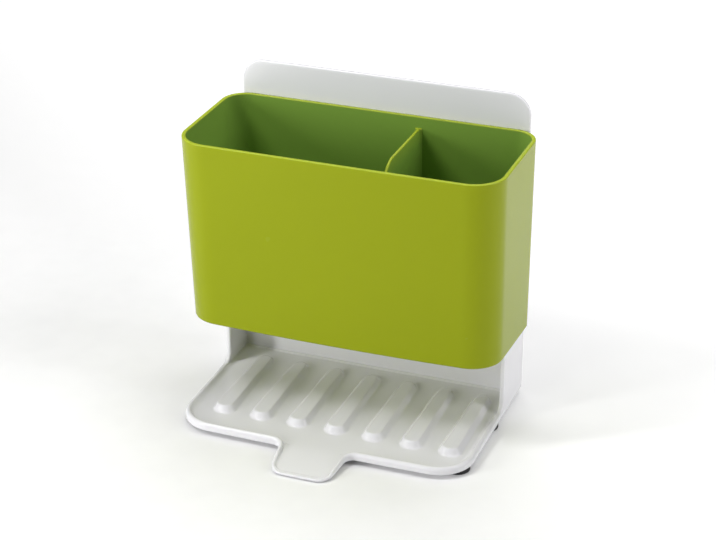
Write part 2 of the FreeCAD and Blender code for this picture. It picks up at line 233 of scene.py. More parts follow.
def moulded_plastic(name, colour, drift_colour, painted_shade_colour, painted_highlight_colour, roughness, gloss):
    """Satin plastic: colour drift, patchy roughness and a fine grain in the surface. Where the piece's own
    attributes say inside, a deeper colour is painted as shade, and where they say edge a lighter colour is
    painted as a highlight."""
    material, start = new_material(name)
    place = start.node("ShaderNodeTexCoord", {}, {}, "Object")
    # The inside attribute marks painted shade and the edge attribute marks a painted highlight.
    inside = start.node("ShaderNodeAttribute", {"attribute_name": "inside"}, {}, "Fac")
    edge = start.node("ShaderNodeAttribute", {"attribute_name": "edge"}, {}, "Fac")
    drift = noise(start, place, scale=14.0, detail=2.0)
    patches = noise(start, place, scale=45.0, detail=3.0)
    grain = noise(start, place, scale=2600.0, detail=2.0)
    ripple = noise(start, place, scale=70.0, detail=1.0)
    outer_shade = mixed_colour(start, drift, colour, drift_colour)
    with_painted_shade = mixed_colour(start, inside, outer_shade, painted_shade_colour)
    shade = mixed_colour(start, edge, with_painted_shade, painted_highlight_colour)
    height = grain_share * grain + (1 - grain_share) * ripple
    bump_sockets = {"Strength": grain_strength, "Distance": grain_distance, "Height": height}
    bump = start.node("ShaderNodeBump", {}, bump_sockets)
    sockets = {
        "Base Color": shade,
        "Roughness": roughness + patch_spread * (patches - 0.5),
        "Normal": bump,
        "IOR": plastic_ior,
        "Specular IOR Level": gloss,
    }
    finish_material(start, start.node("ShaderNodeBsdfPrincipled", {}, sockets))
    return material


lime = (0.292, 0.342, 0.002, 1)
lime_drift = (0.275, 0.325, 0.002, 1)
# Painted shade: a deeper green for the bin's inner faces and the divider's sides.
lime_painted_shade = (0.204, 0.348, 0.055, 1)
# Painted highlight: a lighter green for the rounding of the bin's rim and the divider's crest.
lime_painted_highlight = (0.41, 0.5, 0.04, 1)
lime_shades = (lime, lime_drift, lime_painted_shade, lime_painted_highlight)
lime_plastic = moulded_plastic("lime_plastic", *lime_shades, roughness=0.25, gloss=0.16)
white = (0.85, 0.845, 0.875, 1)
white_drift = (0.83, 0.825, 0.855, 1)
white_shades = (white, white_drift, white, white)
white_plastic = moulded_plastic("white_plastic", *white_shades, roughness=0.23, gloss=0.5)
print("plastics", lime_plastic.name, white_plastic.name)

# %% [markdown]
# ## Rubber
#
# The feet are moulded from black rubber: matt, slightly grey, with a dusty speckle. The dust is noise
# that makes the rubber lighter, rougher and a little uneven all at once.

# %% Make the rubber
rubber_roughness = 0.62
dust_roughness = 0.2


def black_rubber():
    """Matt black rubber with a fine dusty speckle."""
    material, start = new_material("black_rubber")
    place = start.node("ShaderNodeTexCoord", {}, {}, "Object")
    dust = noise(start, place, scale=900.0, detail=4.0)
    stops = [(0.45, (0.010, 0.010, 0.011, 1)), (0.75, (0.030, 0.030, 0.032, 1))]
    shade = start.node("ShaderNodeValToRGB", {"stops": stops}, {"Fac": dust})
    bump = start.node("ShaderNodeBump", {}, {"Strength": 0.25, "Distance": 0.0003, "Height": dust})
    sockets = {"Base Color": shade, "Roughness": rubber_roughness + dust_roughness * dust, "Normal": bump}
    finish_material(start, start.node("ShaderNodeBsdfPrincipled", {}, sockets))
    return material


rubber = black_rubber()
print("rubber", rubber.name)

# %% [markdown]
# ## Surfaces from numpy
#
# Every piece is a grid of points worked out as whole arrays. A table of point numbers becomes faces in
# one step, and a helper puts points and faces into a mesh, joins seams and poles, turns the faces
# outwards and hangs the piece on its CAD body.

# %% Grid helpers
merge_distance = 2e-7
sharp_angle = math.radians(38)


def table(rows, columns, start=0):
    """Point numbers of a grid, row by row."""
    return start + np.arange(rows * columns).reshape(rows, columns)


def ring(numbers):
    """The same table with its first column repeated at the end, so that the grid closes on itself."""
    return np.concatenate([numbers, numbers[:, :1]], axis=1)


def quads(numbers):
    """Faces of a grid: each joins four neighbours in a table of point numbers."""
    corners = [numbers[:-1, :-1], numbers[:-1, 1:], numbers[1:, 1:], numbers[1:, :-1]]
    return np.stack(corners, axis=-1).reshape(-1, 4)


def make_piece(name, points, faces, material, body, node, shares=None):
    """A mesh from points in millimetres, closed and turned outwards, riding on a body in place of a CAD
    node. shares, where given, holds named values for each point that the material reads."""
    mesh = bpy.data.meshes.new(name)
    mesh.from_pydata((np.asarray(points).reshape(-1, 3) * MM).tolist(), [], faces.tolist())
    for share, values in (shares or {}).items():
        mesh.attributes.new(share, "FLOAT", "POINT").data.foreach_set("value", values.astype(np.float32))
    work = bmesh.new()
    work.from_mesh(mesh)
    bmesh.ops.remove_doubles(work, verts=work.verts, dist=merge_distance)
    bmesh.ops.recalc_face_normals(work, faces=work.faces)
    open_edges = sum(not edge.is_manifold for edge in work.edges)
    work.to_mesh(mesh)
    work.free()
    mesh.shade_smooth()
    mesh.set_sharp_from_angle(angle=sharp_angle)
    mesh.materials.append(material)
    piece = bpy.data.objects.new(name, mesh)
    bpy.context.collection.objects.link(piece)
    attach(piece, body)
    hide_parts(node)
    print(name, len(mesh.polygons), "faces,", open_edges, "open edges")


def stand_piece(name, points, faces):
    """A white piece of the stand."""
    make_piece(name, points, faces, white_plastic, "stand", "stand")


def bin_piece(name, points, faces, shares=None):
    """A green piece of the bin."""
    make_piece(name, points, faces, lime_plastic, "bin", "bin", shares)


# %% [markdown]
# ## Rounded outlines and slabs
#
# A plate, a cheek or a tongue is a flat outline with a softened edge. The outline is straight runs joined
# by tangent arcs. It is carried round the edge's quarter circles, moving in as it goes, and each flat
# face closes at one point.

# %% Outline
arc_steps = 14


def rectangle(left, right, low, high):
    """Corners of a rectangle, anticlockwise from its lower left."""
    return [(left, low), (right, low), (right, high), (left, high)]


def rounded_path(corners, radii, closed=True):
    """Corners joined by straight runs. At each corner an arc of its radius touches both runs: it starts and
    ends r / tan(half the corner's angle) away from the corner, and turns about a centre on its bisector."""
    corners = np.array(corners, float)
    parts = []
    last = len(corners) - 1
    for index, radius in enumerate(radii):
        corner = corners[index]
        if not closed and index in (0, last):
            parts.append(corner[None])
            continue
        before = corners[index - 1] - corner
        after = corners[(index + 1) % len(corners)] - corner
        before = before / np.linalg.norm(before)
        after = after / np.linalg.norm(after)
        half = np.arccos(np.clip(before @ after, -1, 1)) / 2
        bisector = (before + after) / np.linalg.norm(before + after)
        centre = corner + bisector * radius / np.sin(half)
        start = corner + before * radius / np.tan(half) - centre
        end = corner + after * radius / np.tan(half) - centre
        angle = np.arctan2(start[1], start[0])
        sweep = np.arctan2(start[0] * end[1] - start[1] * end[0], start @ end)
        turn = angle + sweep * np.linspace(0, 1, arc_steps + 1)
        parts.append(centre + radius * np.stack([np.cos(turn), np.sin(turn)], axis=1))
    return np.concatenate(parts)


def inward(path, closed=True):
    """Unit normals to the left of a path: the next point less the one before, turned by 90 degrees."""
    if closed:
        along = np.roll(path, -1, axis=0) - np.roll(path, 1, axis=0)
    else:
        along = np.gradient(path, axis=0)
    normal = np.stack([-along[:, 1], along[:, 0]], axis=1)
    return normal / np.linalg.norm(normal, axis=1, keepdims=True)


# %% Slab
edge_steps = 6
face_shares = np.array([0.0, 0.5, 0.985])


def slab(path, thickness, rounding, centre):
    """A closed plate: rows of its outline, and how far across the plate each row lies. Round each edge the
    outline moves in by r(1 - sin a) and across by r(1 - cos a). The flat faces shrink to the centre."""
    turn = np.linspace(0, np.pi / 2, edge_steps)
    inset = rounding * (1 - np.sin(turn))
    across = rounding * (1 - np.cos(turn))
    inset = np.concatenate([inset, inset[::-1]])
    across = np.concatenate([across, thickness - across[::-1]])
    rows = path + inset[:, None, None] * inward(path)
    centre = np.array(centre, float)
    shrink = face_shares[:, None, None]
    first = centre + shrink * (rows[0] - centre)
    last = (centre + shrink * (rows[-1] - centre))[::-1]
    outline = np.concatenate([first, rows, last])
    across = np.concatenate([0 * face_shares, across, 0 * face_shares + thickness])
    return outline, np.broadcast_to(across[:, None], outline.shape[:2])


def closed_faces(rows):
    """Faces of rows of points, each row closed round."""
    return quads(ring(table(*rows.shape[:2])))


def seen_from_front(outline, across, rear_y):
    """Points of a slab whose outline lies in x and z and whose thickness runs forward from rear_y."""
    return np.stack([outline[..., 0], rear_y - across, outline[..., 1]], axis=-1)


def seen_from_side(outline, across, start_x, way):
    """Points of a slab whose outline lies in y and z and whose thickness runs sideways from start_x: to the
    right for a way of 1, to the left for -1."""
    return np.stack([start_x + way * across, outline[..., 0], outline[..., 1]], axis=-1)


# %% [markdown]
# ## Back plate
#
# The plate is the wall of the stand: 2.7 mm thick, with round upper corners. It rises above the bin, so
# its top edge and a band of its front face are seen. A cube with a bevel would do, but an outline with
# its own corner radii gives the large round corners and the small edge in one go.

# %% Make the back plate
plate_thickness = 2.7
plate_corner_radius = 14.0
plate_edge_rounding = 0.9
plate_foot_radius = 1.2
plate_pole = (0, base_z + 90.0)
plate_outline = rounded_path(
    rectangle(-stand_half, stand_half, base_z, stand_high[2]),
    [plate_foot_radius, plate_foot_radius, plate_corner_radius, plate_corner_radius],
)
outline, across = slab(plate_outline, plate_thickness, plate_edge_rounding, plate_pole)
stand_piece("stand_plate", seen_from_front(outline, across, back_y), closed_faces(outline))

# %% [markdown]
# ## Cheeks
#
# A cheek carries one end of the bin. Its front edge drops straight and sweeps forward into the tray's
# rim. The top slopes with the bin's bottom. The side view is the outline, and the two cheeks are the same
# slab on either side. Each is a hair smaller than what it runs into, so no two faces lie in one plane.

# %% Make the cheeks
hair = 0.03
bottom_rise = 5.0
tongue_height = 32.0
bin_base = bin_low[2] + tongue_height
cheek_depth = 40.4
cheek_thickness = 3.0
cheek_sweep_radius = 6.5
cheek_edge_rounding = 1.1
cheek_corner_radius = 1.2
cheek_toe_run = 1.3
cheek_pole = (from_back(20.0), base_z + 2.5)
rim_height = 4.8
rim_z = base_z + rim_height


def seat_height(y):
    """Height of the sloping seat: it rises evenly from the bin's back face to its front edge."""
    return bin_base + bottom_rise * (bin_high[1] - y) / (bin_high[1] - bin_low[1])


cheek_front = from_back(cheek_depth)
cheek_toe = cheek_front - cheek_sweep_radius - cheek_toe_run
cheek_back = from_back(plate_thickness / 2)
cheek_outline = rounded_path(
    [
        (cheek_toe, base_z + hair),
        (cheek_back, base_z + hair),
        (cheek_back, seat_height(cheek_back) - hair),
        (cheek_front, seat_height(cheek_front) - hair),
        (cheek_front, rim_z),
        (cheek_toe, rim_z),
    ],
    [cheek_corner_radius] * 4 + [cheek_sweep_radius, cheek_corner_radius],
)
outline, across = slab(cheek_outline, cheek_thickness, cheek_edge_rounding, cheek_pole)
for side, name in ((-1, "stand_cheek_left"), (1, "stand_cheek_right")):
    cheek_points = seen_from_side(outline, across, side * (stand_half - hair), -side)
    stand_piece(name, cheek_points, closed_faces(outline))

# %% [markdown]
# ## Tray rim and spout lip
#
# The rim starts at one cheek, rounds the front corner, turns out along the spout and comes back on the
# other side. It is one profile carried along that path: a low wall with a soft outer shoulder. Along the
# spout the wall gets thinner and both its top and its bottom fall towards the tip.

# %% Path of the rim
tray_depth = 121.8
tray_fallback = 1.2
tray_corner_radius = 22.5
spout_root_half = 21.5
spout_tip_half = 18.5
spout_bend_radius = 5.9
spout_tip_radius = 9.0
path_spacing = 0.7
rim_overlap = 3.0
front_y = from_back(tray_depth)
corner_y = from_back(tray_depth - tray_fallback)
tip_y = stand_low[1]
root_y = front_y + tray_fallback * spout_root_half / stand_half
left_half = [
    (-stand_half, cheek_toe + rim_overlap),
    (-stand_half, corner_y),
    (-spout_root_half, root_y),
    (-spout_tip_half, tip_y),
]
right_half = [(-x, y) for x, y in reversed(left_half)]
rim_radii = [0, tray_corner_radius, spout_bend_radius, spout_tip_radius]


def evenly_spaced(path, spacing):
    """The same path with points at equal steps of length along it."""
    steps = np.linalg.norm(np.diff(path, axis=0), axis=1)
    length = np.concatenate([[0], np.cumsum(steps)])
    places = np.linspace(0, length[-1], int(length[-1] / spacing) + 1)
    return np.stack([np.interp(places, length, path[:, axis]) for axis in (0, 1)], axis=1)


rim_path = rounded_path(left_half + right_half, rim_radii + rim_radii[::-1], closed=False)
rim_path = evenly_spaced(rim_path, path_spacing)
rim_inward = inward(rim_path, closed=False)
print("rim path", len(rim_path), "points, tip at", rim_path[:, 1].min().round(1))

# %% Sections along the rim
rim_wall = 3.4
spout_wall = 2.0
spout_drop = 2.4
spout_tip_rim = 1.6
rim_bottom_rounding = 0.4
spout_blend_start = 7.0
spout_blend = 8.0
cheek_blend = 16.0
shoulder_share = 0.62
shoulder_limit = 0.45
lip_share = 0.36
lip_limit = 0.4
lip_step = 0.05
quarter_rows = 9


def smooth_step(value):
    """0 below 0, 1 above 1, and 3v^2 - 2v^3 between."""
    value = np.clip(value, 0, 1)
    return value * value * (3 - 2 * value)


def spout_fall(y):
    """How far along the spout a place is: 0 at the tray's front edge and behind it, 1 at the tip."""
    return np.clip((front_y - y) / (front_y - tip_y), 0, 1)


on_spout = smooth_step((spout_root_half + spout_blend_start - np.abs(rim_path[:, 0])) / spout_blend)
near_cheek = smooth_step((rim_path[:, 1] - cheek_toe + cheek_blend) / cheek_blend)
fall = spout_fall(rim_path[:, 1])
section_wall = rim_wall + (spout_wall - rim_wall) * on_spout + (cheek_thickness - rim_wall) * near_cheek
section_top = rim_z - hair + (base_z - spout_drop + spout_tip_rim - rim_z) * fall
section_low = base_z + hair - spout_drop * fall
shoulder = shoulder_share * section_wall
shoulder = shoulder + (cheek_edge_rounding - shoulder) * near_cheek
shoulder = np.minimum(shoulder, shoulder_limit * (section_top - section_low))
lip = np.minimum(lip_share * section_wall, lip_limit * (section_top - section_low))


def rim_section():
    """Offsets inward and heights of the closed section, one row for each step round it: outer wall,
    shoulder arc, inner lip arc, inner wall and underside, each scaled by the wall and height there."""
    quarter = np.linspace(0, np.pi / 2, quarter_rows)[:, None]
    bottom = rim_bottom_rounding
    offset = np.concatenate([
        bottom * (1 - np.sin(quarter)) + 0 * shoulder,
        shoulder * (1 - np.cos(quarter)),
        section_wall - lip + lip * np.sin(quarter),
        np.repeat(section_wall[None], 2, axis=0),
    ])
    height = np.concatenate([
        section_low + bottom * (1 - np.cos(quarter)),
        section_top - shoulder * (1 - np.sin(quarter)),
        section_top - lip * (1 - np.cos(quarter)),
        np.stack([section_top - lip - lip_step, section_low]),
    ])
    return offset, height


def with_end_poles(sections):
    """Sections along a path with both ends closed: one more section at each end, shrunk to its middle."""
    first = np.broadcast_to(sections[:1].mean(axis=1, keepdims=True), sections[:1].shape)
    last = np.broadcast_to(sections[-1:].mean(axis=1, keepdims=True), sections[-1:].shape)
    return np.concatenate([first, sections, last])


# %% Make the rim
# Its ends sink below the cheeks' faces by two more hairs, so that the two don't lie in one plane.
offset, height = rim_section()
rim_plan = rim_path + (offset + hair + 2 * hair * near_cheek)[..., None] * rim_inward
rim_points = np.concatenate([rim_plan, height[..., None]], axis=-1)
rim_points = with_end_poles(rim_points.transpose(1, 0, 2))
stand_piece("stand_rim", rim_points, closed_faces(rim_points))

# %% [markdown]
# ## Tray floor with its ribs
#
# The floor is a height above each place of the plan. It slopes to the front, falls along the spout, and
# curves up into the walls with a moulded fillet. A low ledge runs along the foot of the bay wall. Seven
# ribs with flat tops, steep flanks and soft edges stand on the floor: each widens and rises from its tail
# by the bay to its nose. A height field gives all of that with one formula, and the underside closes it.

# %% Places of the ribs
bay_wall_setback = 14.0
bay_wall_thickness = 2.5
rib_count = 7
rib_pitch = 24.5
rib_shift = 3.3
rib_back_gap = 11.0
rib_front_gap = 21.3
rib_tail_half = 5.8
rib_nose_half = 7.4
tail_y = from_back(bay_wall_setback + rib_back_gap)
nose_y = front_y + rib_front_gap
print(rib_count, "ribs from", tail_y.round(1), "to", nose_y.round(1))


def nearest_rib(x):
    """X of the middle of the rib nearest to each place."""
    number = np.round((x - rib_shift) / rib_pitch)
    return rib_shift + rib_pitch * np.clip(number, -(rib_count // 2), rib_count // 2)


def along_rib(y):
    """0 at a rib's tail by the bay, 1 at its nose."""
    return np.clip((tail_y - y) / (tail_y - nose_y), 0, 1)


def rib_half(y):
    """Half the width of a rib at its foot: it widens evenly from tail to nose."""
    return rib_tail_half + (rib_nose_half - rib_tail_half) * along_rib(y)


def follow_ribs(x, y):
    """Moves columns sideways so that the same ones stay on a rib's edges as it widens: inside a rib in
    proportion to its width, between two ribs in proportion to the room that is left."""
    centre = nearest_rib(x)
    beside = np.abs(x - centre)
    half = rib_half(y)
    cell = rib_pitch / 2
    outer = half + (beside - rib_nose_half) * (cell - half) / (cell - rib_nose_half)
    moved = np.where(beside < rib_nose_half, beside * half / rib_nose_half, outer)
    return centre + np.sign(x - centre) * np.where(beside > cell, beside, moved)


# %% Columns and rows of the floor
# Columns stand closest where a rib's flank bends, rows where the ledge, the tails and the noses are.
half_cell = np.array([
    0, 1.8, 3.2, 4.0, 4.4, 4.65, 4.9, 5.15, 5.4, 5.7, 6.05,
    6.4, 6.7, 6.95, 7.2, 7.4, 7.7, 8.1, 8.8, 10.0, rib_pitch / 2,
])
ledge_run = 4.0
tail_lead = 1.0
tail_run = 8.0
nose_run = 9.0
even_run = 14.0
row_counts = [20, 5, 16, 18, 15]
left_columns = 15
right_columns = 6
corner_rows = 36
floor_side_half = stand_half - cheek_thickness / 2
floor_back = from_back(bay_wall_setback - bay_wall_thickness / 2)
corner_reach = tray_corner_radius - rim_wall / 2
corner_centre_x = stand_half - tray_corner_radius
corner_centre_y = corner_y + tray_corner_radius

one_cell = np.concatenate([-half_cell[:0:-1], half_cell[:-1]])
rib_numbers = np.arange(rib_count) - rib_count // 2
rib_columns = ((rib_shift + rib_pitch * rib_numbers)[:, None] + one_cell).ravel()
last_cell = rib_columns[-1] + half_cell[-1] - half_cell[-2]
rib_columns = np.concatenate([
    np.linspace(-floor_side_half, rib_columns[0], left_columns, endpoint=False),
    rib_columns,
    np.linspace(last_cell, floor_side_half, right_columns),
])
floor_columns = len(rib_columns)
row_starts = [floor_back, floor_back - ledge_run, tail_y + tail_lead, tail_y - tail_run, nose_y + nose_run]
row_stops = row_starts[1:] + [corner_centre_y]
row_runs = [
    np.linspace(start, stop, count, endpoint=False)
    for start, stop, count in zip(row_starts, row_stops, row_counts)
]
straight_y = np.concatenate(row_runs + [[corner_centre_y]])
corner_turn = np.linspace(0, np.pi / 2, corner_rows + 1)[1:]
row_y = np.concatenate([straight_y, corner_centre_y - corner_reach * np.sin(corner_turn)])[:, None]
row_half = np.concatenate([
    np.full(len(straight_y), floor_side_half),
    corner_centre_x + (floor_side_half - corner_centre_x) * np.cos(corner_turn),
])[:, None]
row_bow = np.concatenate([np.zeros(len(straight_y)), np.sin(corner_turn)])[:, None]
even_columns = np.linspace(-floor_side_half, floor_side_half, floor_columns)
past_noses = smooth_step((nose_y - row_y) / even_run)
columns = follow_ribs(rib_columns, row_y) * (1 - past_noses) + even_columns * past_noses
tray_x = row_half / floor_side_half * columns
tray_y = row_y - tray_fallback * row_bow * (1 - np.abs(tray_x) / stand_half)
print("floor", tray_x.shape, "rows and columns")

# %% Plan of the spout
spout_rows = 42
mouth_margin = 6.0
bend_margin = 4.0
middle = floor_columns // 2
reach = int(round((spout_root_half + mouth_margin) / (tray_x[-1, middle + 1] - tray_x[-1, middle])))
mouth = slice(middle - reach, middle + reach + 1)
mouth_half = tray_x[-1, mouth].max()
mouth_y = tray_y[-1, mouth]
spout_share = np.linspace(0, 1, spout_rows + 1)[1:]
spout_middle_y = tray_y[-1, middle] + (tip_y + spout_wall / 2 - tray_y[-1, middle]) * spout_share
root_inset = spout_root_half - spout_wall / 2
straight = spout_root_half + (spout_tip_half - spout_root_half) * spout_fall(spout_middle_y)
straight = straight - spout_wall / 2
bend_place = (spout_middle_y - (root_y - spout_bend_radius)) / (spout_bend_radius + bend_margin)
bend_place = np.clip(bend_place, 0, 1)
flare = (mouth_half - root_inset) * (1 - np.sqrt(1 - bend_place ** 2))
tip_inner_radius = spout_tip_radius - spout_wall / 2
into_tip = np.clip((tip_y + spout_tip_radius - spout_middle_y) / tip_inner_radius, 0, 1)
tip_round = tip_inner_radius * (1 - np.sqrt(1 - into_tip ** 2))
spout_half = straight + flare - tip_round
spout_x = spout_half[:, None] * np.linspace(-1, 1, 2 * reach + 1)
spout_y = spout_middle_y[:, None] + (mouth_y - mouth_y.min()) * (1 - spout_share[:, None]) ** 3
print("spout", spout_x.shape, "rows and columns, mouth half width", round(mouth_half, 1))

# %% Height of the ribs
rib_tail_height = 3.0
rib_nose_height = 4.2
rib_corner_radius = 6.6
rib_flank_share = 0.31
rib_softness = 0.42
rib_nose_slope = 1.0
rib_tail_slope = 0.7


def soft_ramp(climb, top, softness):
    """A ramp from 0 to a top with two soft bends: s log(1 + e^(c / s)) - s log(1 + e^((c - t) / s))."""
    low_bend = np.logaddexp(0, climb / softness)
    return softness * (low_bend - np.logaddexp(0, (climb - top) / softness))


def rib_height(x, y):
    """Height of the ribs over the floor. A rib's plan is a tapered rectangle with round corners. At a
    distance d inside its edge its flank has climbed by the crest times d / (s w), where w is half its width
    and s the flank's share, up to the crest. So the flat top keeps its share of the width. The distance to
    an end counts times that end's slope, which makes the tail gentler."""
    beside = np.abs(x - nearest_rib(x))
    crest = rib_tail_height + (rib_nose_height - rib_tail_height) * along_rib(y)
    from_end = np.minimum(rib_nose_slope * (y - nose_y), rib_tail_slope * (tail_y - y))
    corner_radius = np.minimum(rib_corner_radius, rib_half(y))
    side_gap = corner_radius - (rib_half(y) - beside)
    end_gap = corner_radius - from_end
    edge = corner_radius - np.hypot(np.maximum(side_gap, 0), np.maximum(end_gap, 0))
    climb = crest * edge / (rib_flank_share * rib_half(y))
    return soft_ramp(climb, crest, rib_softness) * smooth_step(edge + 1)


# %% Height of the floor
floor_back_thickness = 2.6
floor_front_thickness = 1.9
slope_limit = 1.03
spout_tip_floor = 0.9
spout_softness = 2.0
spout_limit = 1.02
fillet_radius = 3.0
spout_fillet_radius = 1.3
fillet_blend = 8.0
ledge_height = 1.0
ledge_depth = 1.6
ledge_flank = 1.6
ledge_softness = 0.2
underside_lift = 0.1


def wall_distance(x, y):
    """Distance in plan to the inner face of the rim, cheeks and spout lip."""
    side_y = np.arange(rim_path[0, 1], floor_back, path_spacing)
    side_x = np.full(side_y.shape, stand_half - cheek_thickness)
    inner = rim_path + section_wall[:, None] * rim_inward
    walls = np.concatenate([inner, np.stack([side_x, side_y], 1), np.stack([-side_x, side_y], 1)])
    walls = walls.astype(np.float32)
    plan = np.stack([x.ravel(), y.ravel()], axis=1).astype(np.float32)
    squared = (plan[:, :1] - walls[:, 0]) ** 2 + (plan[:, 1:] - walls[:, 1]) ** 2
    return np.sqrt(squared.min(axis=1)).reshape(x.shape)


def fillet(distance, radius):
    """How far a moulded fillet rises at a distance d from its wall: r - sqrt(r^2 - (r - d)^2)."""
    gap = radius - np.clip(distance, 0, radius)
    return radius - np.sqrt(radius ** 2 - gap ** 2)


def floor_height(x, y):
    """Top of the floor: an even slope, the spout's fall with a soft bend, s log(1 + e^(d / s)) at a
    distance d past the tray's front edge, the higher of wall fillet and ledge, and the ribs."""
    slope_back = from_back(bay_wall_setback)
    slope_front = front_y + rim_wall
    share = np.clip((slope_back - y) / (slope_back - slope_front), 0, slope_limit)
    level = base_z + floor_back_thickness + (floor_front_thickness - floor_back_thickness) * share
    tip_level = base_z - spout_drop + spout_tip_floor
    softened = spout_softness * np.logaddexp(0, (front_y - y) / spout_softness) / (front_y - tip_y)
    level = level + (tip_level - base_z - floor_front_thickness) * np.minimum(softened, spout_limit)
    past_front = smooth_step((front_y + fillet_blend / 2 - y) / fillet_blend)
    radius = fillet_radius + (spout_fillet_radius - fillet_radius) * past_front
    from_bay = slope_back - y
    ledge = soft_ramp(ledge_flank * (ledge_depth - from_bay), ledge_height, ledge_softness)
    rise = np.maximum(fillet(wall_distance(x, y), radius), ledge)
    return level + rise + rib_height(x, y)


def underside(y):
    """Underside of the floor: level under the tray, falling with the spout."""
    return base_z + underside_lift - spout_drop * spout_fall(y)


tray_top = floor_height(tray_x, tray_y)
spout_top = floor_height(spout_x, spout_y)
print("floor from", tray_top.min().round(2), "to", tray_top.max().round(2), "tip", spout_top.min().round(2))

# %% Make the floor
tray_numbers = table(*tray_x.shape)
spout_numbers = table(*spout_x.shape, start=tray_numbers.size)
spout_numbers = np.concatenate([tray_numbers[-1:, mouth], spout_numbers])
border = np.concatenate([
    tray_numbers[0, ::-1],
    tray_numbers[1:, 0],
    tray_numbers[-1, 1:mouth.start],
    spout_numbers[:, 0],
    spout_numbers[-1, 1:-1],
    spout_numbers[::-1, -1],
    tray_numbers[-1, mouth.stop:],
    tray_numbers[-2::-1, -1],
])
floor_x = np.concatenate([tray_x.ravel(), spout_x.ravel()])
floor_y = np.concatenate([tray_y.ravel(), spout_y.ravel()])
floor_top = np.concatenate([tray_top.ravel(), spout_top.ravel()])
top_points = np.stack([floor_x, floor_y, floor_top], axis=1)
low_points = np.stack([floor_x, floor_y, underside(floor_y)], axis=1)
top_faces = np.concatenate([quads(tray_numbers), quads(spout_numbers)])
low_faces = top_faces[:, ::-1] + len(top_points)
edge_faces = quads(np.stack([border, border + len(top_points)]))
floor_points = np.concatenate([top_points, low_points])
floor_faces = np.concatenate([top_faces, low_faces, edge_faces])
stand_piece("stand_tray", floor_points, floor_faces)

# %% [markdown]
# ## Bay wall, webs and pocket
#
# Behind the tray a wall closes the space under the bin. The bin's two tongues drop into the pocket
# between this wall and the plate, and three webs tie the two together. All of them are slabs; the
# pocket's floor has two drain holes, so it is made of tiles: in each tile a round hole grows into the
# tile's square edge.

# %% Make the bay wall and webs
# Each next piece starts one hair higher, so that no two undersides lie in one plane.
web_spacing = 72.0
web_thickness = 2.0
wall_rounding = 0.25
wall_corner_radius = 0.3
wall_pole_height = base_z + 20.0
web_pole_depth = 4.0
bay_front = from_back(bay_wall_setback)
bay_rear = bay_front + bay_wall_thickness
bay_half = stand_half - cheek_thickness / 2
bay_top = seat_height(bay_rear) - hair
bay_corners = rectangle(-bay_half, bay_half, base_z + 2 * hair, bay_top)
bay_outline = rounded_path(bay_corners, [wall_corner_radius] * 4)
outline, across = slab(bay_outline, bay_wall_thickness, wall_rounding, (0, wall_pole_height))
stand_piece("stand_bay_wall", seen_from_front(outline, across, bay_rear), closed_faces(outline))

web_front = bay_rear - bay_wall_thickness / 2
web_back = from_back(plate_thickness / 2)
web_outline = rounded_path(
    [
        (web_front, base_z + 3 * hair),
        (web_back, base_z + 3 * hair),
        (web_back, seat_height(web_back) - 2 * hair),
        (web_front, seat_height(web_front) - 2 * hair),
    ],
    [wall_corner_radius] * 4,
)
web_pole = (web_front + web_pole_depth, wall_pole_height)
outline, across = slab(web_outline, web_thickness, wall_rounding, web_pole)
for side, name in ((-1, "stand_web_left"), (0, "stand_web_middle"), (1, "stand_web_right")):
    web_points = seen_from_side(outline, across, side * web_spacing - web_thickness / 2, 1)
    stand_piece(name, web_points, closed_faces(outline))

# %% Tiles with round holes
tile_steps = 8
ring_shares = np.array([0.0, 0.12, 0.4, 1.0])


def tile_rings(edges_x, edges_y, holes):
    """Plan of a sheet of tiles: in each tile, rings run from a circle of the hole's radius, or from the
    middle where there is no hole, out to the tile's edge: circle x (1 - s) + square x s."""
    share = np.linspace(-1, 1, tile_steps + 1)[:-1]
    one = np.ones(tile_steps)
    square = np.concatenate([
        np.stack([share, -one], 1),
        np.stack([one, share], 1),
        np.stack([-share, one], 1),
        np.stack([-one, -share], 1),
    ])
    turn = np.radians(-135) + np.arange(4 * tile_steps) * np.pi / (2 * tile_steps)
    circle = np.stack([np.cos(turn), np.sin(turn)], axis=1)
    middle_x, middle_y = np.meshgrid((edges_x[1:] + edges_x[:-1]) / 2, (edges_y[1:] + edges_y[:-1]) / 2)
    half_x, half_y = np.meshgrid(np.diff(edges_x) / 2, np.diff(edges_y) / 2)
    centre = np.stack([middle_x.ravel(), middle_y.ravel()], 1)[:, None, None]
    half = np.stack([half_x.ravel(), half_y.ravel()], 1)[:, None, None]
    radius = np.tile(holes, len(edges_y) - 1)[:, None, None, None]
    shares = ring_shares[:, None, None]
    return centre + (1 - shares) * radius * circle + shares * half * square


def tile_border(edges_x, edges_y):
    """Points round the sheet's outer edge, front left corner first, at the tiles' own steps."""
    places = np.arange(0, 1, 1 / tile_steps)
    x = (edges_x[:-1, None] + np.diff(edges_x)[:, None] * places).ravel()
    y = (edges_y[:-1, None] + np.diff(edges_y)[:, None] * places).ravel()
    x_back = (edges_x[1:, None] - np.diff(edges_x)[:, None] * places)[::-1].ravel()
    y_left = (edges_y[1:, None] - np.diff(edges_y)[:, None] * places)[::-1].ravel()
    return np.concatenate([
        np.stack([x, np.full(x.shape, edges_y[0])], 1),
        np.stack([np.full(y.shape, edges_x[-1]), y], 1),
        np.stack([x_back, np.full(x.shape, edges_y[-1])], 1),
        np.stack([np.full(y.shape, edges_x[0]), y_left], 1),
    ])


# %% Faces of the tiles
def tile_numbers(rings, start):
    """Point numbers of each tile's rings, closed round."""
    numbers = start + np.arange(rings[..., 0].size).reshape(rings.shape[:3])
    return np.concatenate([numbers, numbers[:, :, :1]], axis=2)


def tile_faces(numbers):
    """Faces of all tiles at once."""
    corners = [numbers[:, :-1, :-1], numbers[:, :-1, 1:], numbers[:, 1:, 1:], numbers[:, 1:, :-1]]
    return np.stack(corners, axis=-1).reshape(-1, 4)


